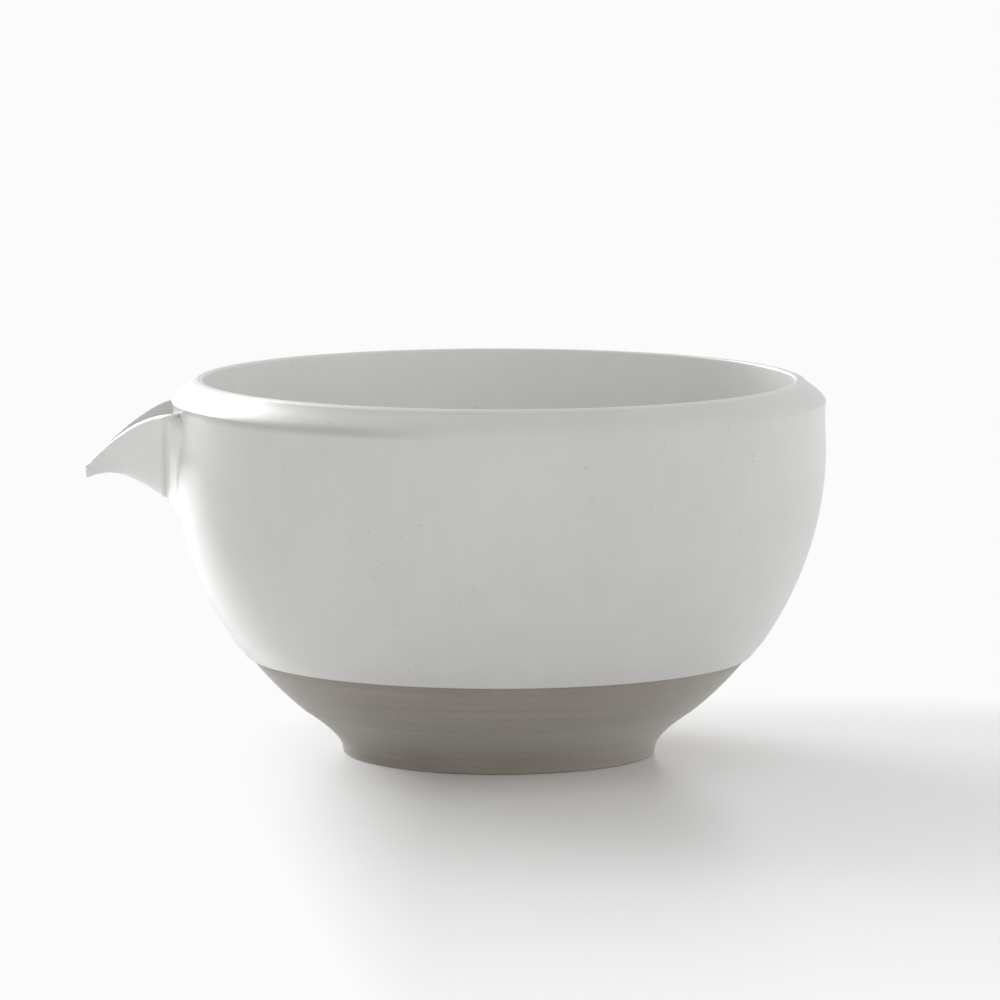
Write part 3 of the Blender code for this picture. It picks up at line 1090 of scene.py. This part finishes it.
@dataclass
class PourHole:
    """The oval hole through the wall inside the spout, with its rounded and glazed edge."""

    profile: ThrownProfile
    glaze: GlazeFinish
    width: float = 9.0 * MM
    height: float = 10.0 * MM
    middle: float = 59.9 * MM
    rounding: float = 0.9 * MM
    margin: float = 0.1 * MM
    edge_run: float = 0.6 * MM
    edge_sink: float = 0.3 * MM
    proud: float = 0.05 * MM
    tool_start: float = 45.0 * MM
    tool_end: float = 75.0 * MM
    turn_steps: int = 96
    round_steps: int = 8

    def angles(self) -> List[float]:
        """Places round the oval."""
        return [math.tau * step / self.turn_steps for step in range(self.turn_steps)]

    def spot(self, angle: float, spread: float) -> Vector:
        """Find a point outside the oval.

        Args:
            angle: Its angle round the oval.
            spread: How far outside it is.

        Returns:
            The point, as (across, height).
        """
        across, up = math.cos(angle), math.sin(angle)
        way = Vector((across / self.width, up / self.height)).normalized()
        return Vector((self.width / 2 * across, self.middle + self.height / 2 * up)) + way * spread

    def under(self, coat: Coat, spot: Vector, depth: float) -> Vector:
        """Find a point under one face of the wall.

        Args:
            coat: The coat whose face it is.
            spot: Its place, as (across, height).
            depth: Its depth under the face.

        Returns:
            The point, in the frame's axes.
        """
        away = math.sqrt(self.profile.glazed_radius(spot.y, coat) ** 2 - spot.x**2)
        inwards = depth if coat is Coat.OUTSIDE else -depth
        return Vector((self.profile.axis_x - away + inwards, spot.x, spot.y))

    def edge(self, coat: Coat, angle: float) -> List[Vector]:
        """Draw the rounded edge at one face.

        Args:
            coat: The coat whose face it is.
            angle: Place round the oval.

        Returns:
            The outline, from the face into the hole.
        """
        far = self.rounding + self.edge_run
        run = [
            (far + self.margin, self.edge_sink),
            (far, 0.0),
            (far - self.edge_run / 2, -self.proud),
        ]
        for step in range(self.round_steps + 1):
            turn = math.pi / 2 * step / self.round_steps
            spread = self.rounding * (1.0 - math.sin(turn))
            run.append((spread, self.rounding * (1.0 - math.cos(turn)) - self.proud))
        return [self.under(coat, self.spot(angle, spread), depth) for spread, depth in run]

    def lining(self) -> bmesh.types.BMesh:
        """Sweep the glazed edge round the oval.

        Returns:
            The lining's mesh.
        """
        sections = [
            self.edge(Coat.OUTSIDE, angle) + self.edge(Coat.INSIDE, angle)[::-1]
            for angle in self.angles()
        ]
        return loft(sections, Ends.JOINED)

    def tool(self) -> bmesh.types.BMesh:
        """Make what is cut out of the wall, with room for the lining.

        Returns:
            The tool's mesh.
        """
        spots = [self.spot(angle, self.rounding + self.margin) for angle in self.angles()]
        ends = [self.profile.axis_x - away for away in (self.tool_end, self.tool_start)]
        return loft([[Vector((end, spot.x, spot.y)) for spot in spots] for end in ends])

    def build(self) -> None:
        """Build the lining and dress it."""
        finish_piece("hole_lining", self.lining(), self.glaze.material())


@dataclass
class ThrownBowl:
    """The turned clay body and its two glaze coats, pierced inside the spout."""

    profile: ThrownProfile
    hole: PourHole
    clay: ClayFinish
    outer: GlazeFinish
    inner: GlazeFinish
    turn_steps: int = 288
    full_side: float = math.radians(-55.0)
    wobble: float = 0.0012
    wobble_scale: float = 1.1

    def build(self, wheel: TurningWheel) -> None:
        """Turn the three pieces, pierce them and dress them.

        Args:
            wheel: The wheel that turns them.
        """
        profile, clay = self.profile, self.clay.material()
        self._piece(wheel, "clay_body", profile.clay(), (), clay, "bowl_body")
        coats = (
            ("glaze_outside", Coat.OUTSIDE, profile.swell(), self.outer),
            ("glaze_inside", Coat.INSIDE, (), self.inner),
        )
        for name, coat, swell, glaze in coats:
            outline, slot = profile.shell(coat), coat.value
            self._piece(wheel, name, outline, swell, glaze.material(), slot)

    def _piece(
        self,
        wheel: TurningWheel,
        name: str,
        outline: Sequence[Vector],
        swell: Sequence[float],
        material: bpy.types.Material,
        node: str,
    ) -> None:
        """Turn one outline on the wheel, pierce it and hang it on the frame.

        Args:
            wheel: The wheel.
            name: The piece's name.
            outline: Points of (radius, height).
            swell: What the first points gain in radius on the full side.
            material: The piece's finish.
            node: The solid that it replaces.
        """
        values = {
            "Turn Steps": self.turn_steps,
            "Axis X": self.profile.axis_x,
            "Full Side": self.full_side,
            "Wobble": self.wobble,
            "Wobble Scale": self.wobble_scale,
            "Weld": WELD,
            "Finish": material,
        }
        bm = bmesh.new()
        bm.from_mesh(wheel.turn(name, outline, swell, values))
        finish_piece(name, pierced(bm, self.hole.tool()), material, node)


@dataclass
class BeakSpout:
    """The beak spout and the luting round its root; out is measured from the glazed wall."""

    profile: ThrownProfile
    glaze: GlazeFinish
    luting: GlazeFinish
    reach: float
    lip_height: float
    wall_face: float
    width: float = 23.0 * MM
    depth: float = 19.9 * MM
    wall: float = 2.4 * MM
    floor: float = 3.0 * MM
    lip_swell: float = 9.5 * MM
    lip_pinch_out: float = 6.2 * MM
    lip_pinch_width: float = 4.0 * MM
    lip_roll: float = 0.6 * MM
    lip_round_outer: float = 0.7 * MM
    lip_round_inner: float = 0.5 * MM
    tip_drop: float = 12.2 * MM
    tip_notch: float = 1.6 * MM
    tip_wall: float = 1.5 * MM
    tip_depth: float = 2.5 * MM
    tip_floor: float = 1.7 * MM
    tip_nose: float = 0.5 * MM
    keel_low_out: float = 6.5 * MM
    keel_low_rise: float = 2.9 * MM
    keel_high_out: float = 8.8 * MM
    keel_high_rise: float = 9.0 * MM
    keel_rounding: float = 1.5
    root_sink: float = 3.0 * MM
    root_run: float = 7.0 * MM
    stations: int = 140
    ribs: int = 28
    lip_steps: int = 16
    nose_steps: int = 6
    crease_keel: float = 0.9 * MM
    crease_lip: float = 0.35 * MM
    crease_depth: float = 0.4 * MM
    crease_width: float = 0.5 * MM
    flare: float = 0.5 * MM
    flare_run: float = 1.6 * MM
    bead_on_wall: float = 5.6 * MM
    bead_toe_sink: float = 0.06 * MM
    bead_edge: float = 0.4 * MM
    bead_hollow: float = 0.5
    bead_sink: float = 0.5 * MM
    bead_steps: int = 14
    bead_stations: int = 96
    root_start: float = -0.4
    nose_from: float = 0.5
    bead_fade: float = 0.06
    bead_end: float = 0.45

    PLACE_PROBE: ClassVar[float] = 0.001
    PROBE: ClassVar[float] = 0.1 * MM
    ROLL_TURNS: ClassVar[Tuple[float, ...]] = (0.5, 1.0, math.pi / 2)

    @classmethod
    def from_frame(
        cls, profile: ThrownProfile, glaze: GlazeFinish, luting: GlazeFinish
    ) -> "BeakSpout":
        """Take the spout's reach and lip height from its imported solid.

        Args:
            profile: The bowl that it is luted to.
            glaze: The spout's finish.
            luting: The luting's finish.

        Returns:
            The spout.
        """
        low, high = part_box("spout")
        face = profile.wall_radius + profile.coat
        return cls(
            profile=profile,
            glaze=glaze,
            luting=luting,
            reach=profile.axis_x - face - low.x - TIP_ROOM,
            lip_height=high.z,
            wall_face=face,
        )

    def _along(self, controls: Sequence[Vector], t: float) -> Vector:
        """Point at t on one of the spout's lines; below 0 it runs straight in."""
        return cubic(controls, max(t, 0.0)) + Vector((min(t, 0.0) * self.root_run, 0.0, 0.0))

    def lip(self, t: float) -> Vector:
        """Find a point on the inner edge of the lip.

        Args:
            t: Place from root to tip.

        Returns:
            The point, as (out, half width, height).
        """
        half = self.width / 2
        controls = (
            Vector((-self.root_sink, half, self.lip_height)),
            Vector((0.0, half + self.lip_swell, self.lip_height)),
            Vector((self.lip_pinch_out, self.lip_pinch_width / 2, self.lip_height)),
            Vector((self.reach, self.tip_notch / 2, self.lip_height - self.tip_drop)),
        )
        return self._along(controls, t)

    def keel(self, t: float) -> Vector:
        """Find a point on the lowest line of the spout.

        Args:
            t: Place from root to tip.

        Returns:
            The point, as (out, 0, height).
        """
        root = self.lip_height - self.depth
        controls = (
            Vector((-self.root_sink, 0.0, root)),
            Vector((self.keel_low_out, 0.0, root + self.keel_low_rise)),
            Vector((self.keel_high_out, 0.0, root + self.keel_high_rise)),
            Vector((self.reach, 0.0, self.lip_height - self.tip_drop - self.tip_depth)),
        )
        return self._along(controls, t)

    @staticmethod
    def ease(root: float, tip: float, t: float) -> float:
        """A size that eases from the root to the tip."""
        return root + (tip - root) * min(max(t, 0.0), 1.0)

    def rib(self, keel: Vector, edge: Vector, v: float) -> Vector:
        """Find a point on a rib.

        Args:
            keel: Where the rib starts.
            edge: Where it ends, on the far side.
            v: Place along it, from the near edge at -1 to the far edge at 1.

        Returns:
            The point.
        """
        rise = abs(v)
        out = keel.x + (edge.x - keel.x) * rise * rise
        height = keel.z + (edge.z - keel.z) * rise**self.keel_rounding
        return Vector((out, edge.y * v, height))

    def outside(self, t: float, v: float) -> Vector:
        """Point on the outside: t from root to tip, v from lip to lip."""
        drop = Vector((0.0, self.ease(self.wall, self.tip_wall, t), -self.lip_roll))
        return self.rib(self.keel(t), self.lip(t) + drop, v)

    def trough(self, t: float, v: float) -> Vector:
        """Point on the inside."""
        floor = self.keel(t) + Vector((0.0, 0.0, self.ease(self.floor, self.tip_floor, t)))
        return self.rib(floor, self.lip(t) - Vector((0.0, 0.0, self.lip_roll / 2)), v)

    def to_bowl(self, point: Vector) -> Vector:
        """From (out, across, height) on the spout to the frame's axes."""
        return Vector((self.profile.axis_x - self.wall_face - point.x, point.y, point.z))

    def rolled_lip(self, t: float, side: Side) -> List[Vector]:
        """Draw the rounded top of one lip.

        Args:
            t: Place from root to tip.
            side: The lip.

        Returns:
            Its points from the outer to the inner edge, without the two edges.
        """
        start, end = self.skin(t, side.value), self.to_bowl(self.trough(t, side.value))
        up = Vector((0.0, 0.0, 1.0))
        controls = (start, start + up * self.lip_round_outer, end + up * self.lip_round_inner, end)
        return cubic_run(controls, self.lip_steps)[:-1]

    def places(self) -> List[float]:
        """Places of the ribs, from lip to lip."""
        return [step / self.ribs for step in range(-self.ribs, self.ribs + 1)]

    def crease(self, v: float) -> float:
        """How far out the luting ends and the spout's own skin begins, at place v."""
        return self.crease_keel + (self.crease_lip - self.crease_keel) * v * v

    def skin(self, t: float, v: float) -> Vector:
        """Find a point on the outside as it shows, flared towards the luting with a crease.

        Args:
            t: Place from root to tip.
            v: Place from lip to lip.

        Returns:
            The point, in the frame's axes.
        """
        point = self.outside(t, v)
        past = point.x - self.crease(v)
        run = self.flare_run if past > 0.0 else self.crease_width
        flare = self.flare * math.exp(-((past / run) ** 2))
        crease = self.crease_depth * math.exp(-((past / self.crease_width) ** 2))
        return self.to_bowl(point) + self.normal(t, v) * (flare - crease)

    def section(self, t: float) -> List[Vector]:
        """Draw the trough at one station.

        Args:
            t: Place from root to tip.

        Returns:
            The closed outline.
        """
        loop = [self.skin(t, v) for v in self.places()] + self.rolled_lip(t, Side.FAR)
        loop += [self.to_bowl(self.trough(t, v)) for v in reversed(self.places())]
        return loop + self.rolled_lip(t, Side.NEAR)[::-1]

    def middle(self, t: float) -> List[Vector]:
        """Draw the middle of the trough's wall.

        Args:
            t: Place from root to tip.

        Returns:
            Points that match those of the section there.
        """
        line = [(self.outside(t, v) + self.trough(t, v)) / 2 for v in self.places()]
        lips = self.lip_steps - 1
        loop = line + [line[-1]] * lips + line[::-1] + [line[0]] * lips
        return [self.to_bowl(point) for point in loop]

    def beak(self) -> bmesh.types.BMesh:
        """Loft the beak from inside the wall to a rounded nose.

        Returns:
            The beak's mesh.
        """
        limit = self.to_bowl(Vector((self.reach - self.tip_nose, 0.0, 0.0))).x
        nearest = self.nose_from
        end = first_past(lambda t: min(point.x for point in self.section(t)) < limit, nearest, 1.0)
        sections = [self.middle(self.root_start), self.section(self.root_start)]
        sections += [self.section(end * step / self.stations) for step in range(self.stations + 1)]
        last, middle = sections[-1], self.middle(end)
        forward = Vector((-1.0, 0.0, 0.0))
        for step in range(1, self.nose_steps + 1):
            angle = math.pi / 2 * step / self.nose_steps
            ahead = forward * self.tip_nose * math.sin(angle)
            ring = zip(last, middle)
            sections.append([core + (skin - core) * math.cos(angle) + ahead for skin, core in ring])
        return loft(sections, Ends.DRAWN)

    def root_place(self, v: float) -> float:
        """Find where the spout comes out of the glazed wall.

        Args:
            v: Place from lip to lip.

        Returns:
            Place along the outside, from root to tip.
        """

        def clear(t: float) -> bool:
            """Tell whether the outside stands clear of the wall.

            Args:
                t: Place from root to tip.

            Returns:
                Whether it does.
            """
            point = self.outside(t, v)
            radius = math.hypot(self.wall_face + point.x, point.y)
            return radius > self.profile.glazed_radius(point.z)

        return first_past(clear, -1.0, 1.0)

    def normal(self, t: float, v: float) -> Vector:
        """Find the outward normal of the spout's outside.

        Args:
            t: Place from root to tip.
            v: Place from lip to lip.

        Returns:
            The unit normal.
        """
        step = self.PLACE_PROBE
        forward = self.to_bowl(self.outside(t + step, v)) - self.to_bowl(self.outside(t - step, v))
        low, high = max(v - step, -1.0), min(v + step, 1.0)
        across = self.to_bowl(self.outside(t, high)) - self.to_bowl(self.outside(t, low))
        return forward.cross(across).normalized()

    def outwards(self, point: Vector) -> Vector:
        """Level way from the bowl's axis to a point."""
        return Vector((point.x - self.profile.axis_x, point.y, 0.0)).normalized()

    def wall_normal(self, point: Vector) -> Vector:
        """Find the outward normal of the glazed wall.

        Args:
            point: A point near the wall.

        Returns:
            The unit normal.
        """
        radius, step = self.profile.glazed_radius, self.PROBE
        slope = (radius(point.z + step) - radius(point.z - step)) / (2 * step)
        return (self.outwards(point) - Vector((0.0, 0.0, slope))).normalized()

    def on_wall(self, point: Vector, proud: float) -> Vector:
        """Move a point level and radially until it stands proud of the glazed wall by a length."""
        place = self.outwards(point) * (self.profile.glazed_radius(point.z) + proud)
        return Vector((place.x + self.profile.axis_x, place.y, point.z))

    def bead_section(self, v: float, size: float) -> List[Vector]:
        """Outline of the luting where it crosses place v of the root.

        Args:
            v: Place across the root, from lip to lip.
            size: Share of its full size, which fades at the two ends.

        Returns:
            The closed outline: a hollow face from the wall up to a rolled edge on the spout.
        """
        t = self.root_place(v)
        corner = self.to_bowl(self.outside(t, v))
        on_wall, on_spout = self.wall_normal(corner), self.normal(t, v)
        down_wall = (on_spout - on_wall * on_spout.dot(on_wall)).normalized()
        toe = self.on_wall(corner + down_wall * self.bead_on_wall * size, -self.bead_toe_sink)
        limit = self.crease(v) - self.bead_edge
        upper = first_past(lambda place: self.outside(place, v).x > limit, t, 1.0)
        skin, lift = self.to_bowl(self.outside(upper, v)), self.normal(upper, v)
        edge = skin + lift * self.bead_edge * size
        pull = self.bead_on_wall * size * self.bead_hollow
        rise, inwards = self.wall_normal(toe), corner - toe
        inwards = (inwards - rise * inwards.dot(rise)).normalized()
        controls = (toe, toe + inwards * pull, edge + (toe - edge) / 3, edge)
        face = cubic_run(controls, self.bead_steps)
        ahead = (skin - corner).normalized()
        roll = [
            skin + (lift * math.cos(turn) + ahead * math.sin(turn)) * self.bead_edge * size
            for turn in self.ROLL_TURNS
        ]
        sunk = skin - lift * (self.bead_sink + self.crease_depth)
        heel = corner - on_wall * self.bead_sink - on_spout * self.bead_sink
        buried = self.on_wall(toe, -self.bead_sink)
        return [toe] + face + roll + [sunk, heel, buried]

    def bead(self) -> bmesh.types.BMesh:
        """Sweep the luting along the line where the spout meets the wall.

        Returns:
            The luting's mesh.
        """
        sections = []
        for step in range(self.bead_stations + 1):
            v = -1.0 + 2.0 * step / self.bead_stations
            fade = min((1.0 - abs(v)) / self.bead_fade, 1.0)
            arc = math.sqrt(1.0 - (1.0 - fade) ** 2)
            sections.append(self.bead_section(v, self.bead_end + (1.0 - self.bead_end) * arc))
        return loft(sections)

    def build(self) -> None:
        """Build the beak and its luting and dress them."""
        finish_piece("beak_spout", self.beak(), self.glaze.material(), "spout")
        finish_piece("luting", self.bead(), self.luting.material(), "luting_bead")


@dataclass
class Studio:
    """A pale table, a soft window from the left and a bright wall behind."""

    axis_x: float
    table_size: float = 12.0
    table_drop: float = 0.05 * MM
    table_colour: float = 0.95
    table_roughness: float = 0.24
    table_ior: float = 1.45
    white: float = 0.965
    shade_near: float = 0.03
    shade_far: float = 0.37
    lit_near: float = -0.008
    lit_far: float = -0.055
    behind_near: float = 0.03
    behind_far: float = 0.09
    gleam_near: float = 0.25
    gleam_far: float = 0.80
    window_from: Tuple[float, float, float] = (-0.537, 0.739, 0.407)
    window_distance: float = 1.3
    window_size: Tuple[float, float] = (0.7, 0.95)
    window_level: float = 0.66
    gleam_level: float = 0.7
    left_level: float = 1.1
    right_level: float = 1.95
    front_level: float = 1.25
    back_level: float = 1.2
    above_level: float = 0.25

    def build(self) -> None:
        """Lay the table and set the light."""
        self._table()
        self._window()
        self._world()

    def _table(self) -> None:
        """A flat table that keeps the shadow near the bowl and turns white far from it."""
        half = self.table_size / 2
        mesh = bpy.data.meshes.new("table")
        corners = [(-half, -half), (half, -half), (half, half), (-half, half)]
        mesh.from_pydata([(x, y, -self.table_drop) for x, y in corners], [], [(0, 1, 2, 3)])
        table = bpy.data.objects.new("table", mesh)
        bpy.context.scene.collection.objects.link(table)
        material, bench = new_material("pale_table")
        place = bench.node("ShaderNodeTexCoord", output="Object")
        reach = {0: place, 1: (self.axis_x, 0.0, 0.0)}
        away = bench.node("ShaderNodeVectorMath", {"operation": "DISTANCE"}, reach, "Value")
        ray = bench.node("ShaderNodeLightPath", output="Is Camera Ray")
        spot = bench.node("ShaderNodeSeparateXYZ", sockets={"Vector": place})
        # Painted light: on the lit left side and behind the bowl, the table shows plain white close
        # to the foot, over the shade that the bowl leaves there.
        lit = (spot - self.axis_x).ramp(self.lit_near, self.lit_far)
        lit += spot.other("Y").ramp(self.behind_near, self.behind_far)
        shown = ray * (away.ramp(self.shade_near, self.shade_far) + lit)
        cover = shown + ray.other("Is Glossy Ray") * away.ramp(self.gleam_near, self.gleam_far)
        tone = opaque((self.table_colour,) * 3)
        matt = bench.node(
            "ShaderNodeBsdfPrincipled",
            sockets={"Base Color": tone, "Roughness": self.table_roughness, "IOR": self.table_ior},
        )
        glow = {"Color": opaque((self.white,) * 3), "Strength": 1.0}
        plain = bench.node("ShaderNodeEmission", sockets=glow)
        mixed = bench.node("ShaderNodeMixShader", sockets={0: cover, 1: matt, 2: plain})
        bench.node("ShaderNodeOutputMaterial", sockets={"Surface": mixed})
        mesh.materials.append(material)

    def _window(self) -> None:
        """One soft light from the left, a little behind, and the gleam it leaves on glaze."""
        for name, level in (("window", self.window_level), ("gleam", self.gleam_level)):
            lamp = bpy.data.lights.new(name, "AREA")
            lamp.shape = "RECTANGLE"
            lamp.size, lamp.size_y = self.window_size
            lamp.energy = level * (math.pi * self.window_distance) ** 2
            item = bpy.data.objects.new(name, lamp)
            way = Vector(self.window_from).normalized()
            item.location = Vector((self.axis_x, 0.0, 0.0)) + way * self.window_distance
            item.rotation_euler = way.to_track_quat("Z", "Y").to_euler()
            item.visible_diffuse = name == "window"
            bpy.context.scene.collection.objects.link(item)

    def _world(self) -> None:
        """A plain room whose walls and ceiling each have a level of their own."""
        world = bpy.data.worlds.new("room")
        world.use_nodes = True
        world.node_tree.nodes.clear()
        bench = NodeBench(world.node_tree)
        look = bench.node("ShaderNodeTexCoord", output="Generated")
        x = bench.node("ShaderNodeSeparateXYZ", sockets={"Vector": look})
        y, z = x.other("Y"), x.other("Z")
        level = x * x * self._pair(x, self.left_level, self.right_level)
        level += y * y * self._pair(y, self.front_level, self.back_level)
        level += z * z * self.above_level
        ray = bench.node("ShaderNodeLightPath", output="Is Camera Ray")
        seen = ray + ray.other("Is Glossy Ray")
        strength = seen * self.white + (1.0 - seen) * level
        light = bench.node("ShaderNodeBackground", sockets={"Strength": strength})
        bench.node("ShaderNodeOutputWorld", sockets={"Surface": light})
        bpy.context.scene.world = world

    @staticmethod
    def _pair(way: Wire, low: float, high: float) -> Wire:
        """One level on the negative side of an axis and another on the positive side."""
        return (way > 0.0) * (high - low) + low


@dataclass
class PhotoCamera:
    """The photograph's camera: a long lens, a little above the bowl."""

    axis_x: float
    elevation: float = math.radians(8.15)
    distance: float = 1.403
    aim_height: float = 17.9 * MM
    image_px: float = 1000.0
    focal_px: float = 7030.0
    aim_px: Tuple[float, float] = (498.9, 661.7)
    sensor: float = 36.0

    def place(self) -> None:
        """Set the scene's camera."""
        data = bpy.data.cameras.new("camera")
        data.sensor_width = self.sensor
        data.lens = self.focal_px / self.image_px * self.sensor
        camera = bpy.data.objects.new("camera", data)
        back = self.distance * math.cos(self.elevation)
        rise = self.distance * math.sin(self.elevation)
        camera.location = (self.axis_x, -back, self.aim_height + rise)
        middle = self.image_px / 2
        pitch = self.elevation - math.atan((self.aim_px[1] - middle) / self.focal_px)
        yaw = math.atan((middle - self.aim_px[0]) / self.focal_px)
        camera.rotation_euler = (math.pi / 2 - pitch, 0.0, -yaw)
        bpy.context.scene.collection.objects.link(camera)
        bpy.context.scene.camera = camera


def main() -> None:
    """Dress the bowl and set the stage."""
    logging.basicConfig(level=logging.INFO, format="%(name)s: %(message)s")
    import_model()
    bpy.context.scene.view_settings.view_transform = "Standard"
    profile = ThrownProfile.from_frame()
    PhotoCamera(profile.axis_x).place()
    Studio(profile.axis_x).build()
    hole = PourHole(profile, GlazeFinish.painted_lighter("glazed_hole"))
    # The outside glaze carries a line of painted shade under the rim band.
    clay, outer = ClayFinish("bare_stoneware"), GlazeFinish.with_band_shade("outer_glaze")
    inner = GlazeFinish.painted_lighter("inner_glaze")
    ThrownBowl(profile, hole, clay, outer, inner).build(TurningWheel())
    hole.build()
    glazes = [GlazeFinish.painted_lightest(name) for name in ("glazed_spout", "glazed_luting")]
    BeakSpout.from_frame(profile, *glazes).build()


if __name__ == "__main__":
    main()
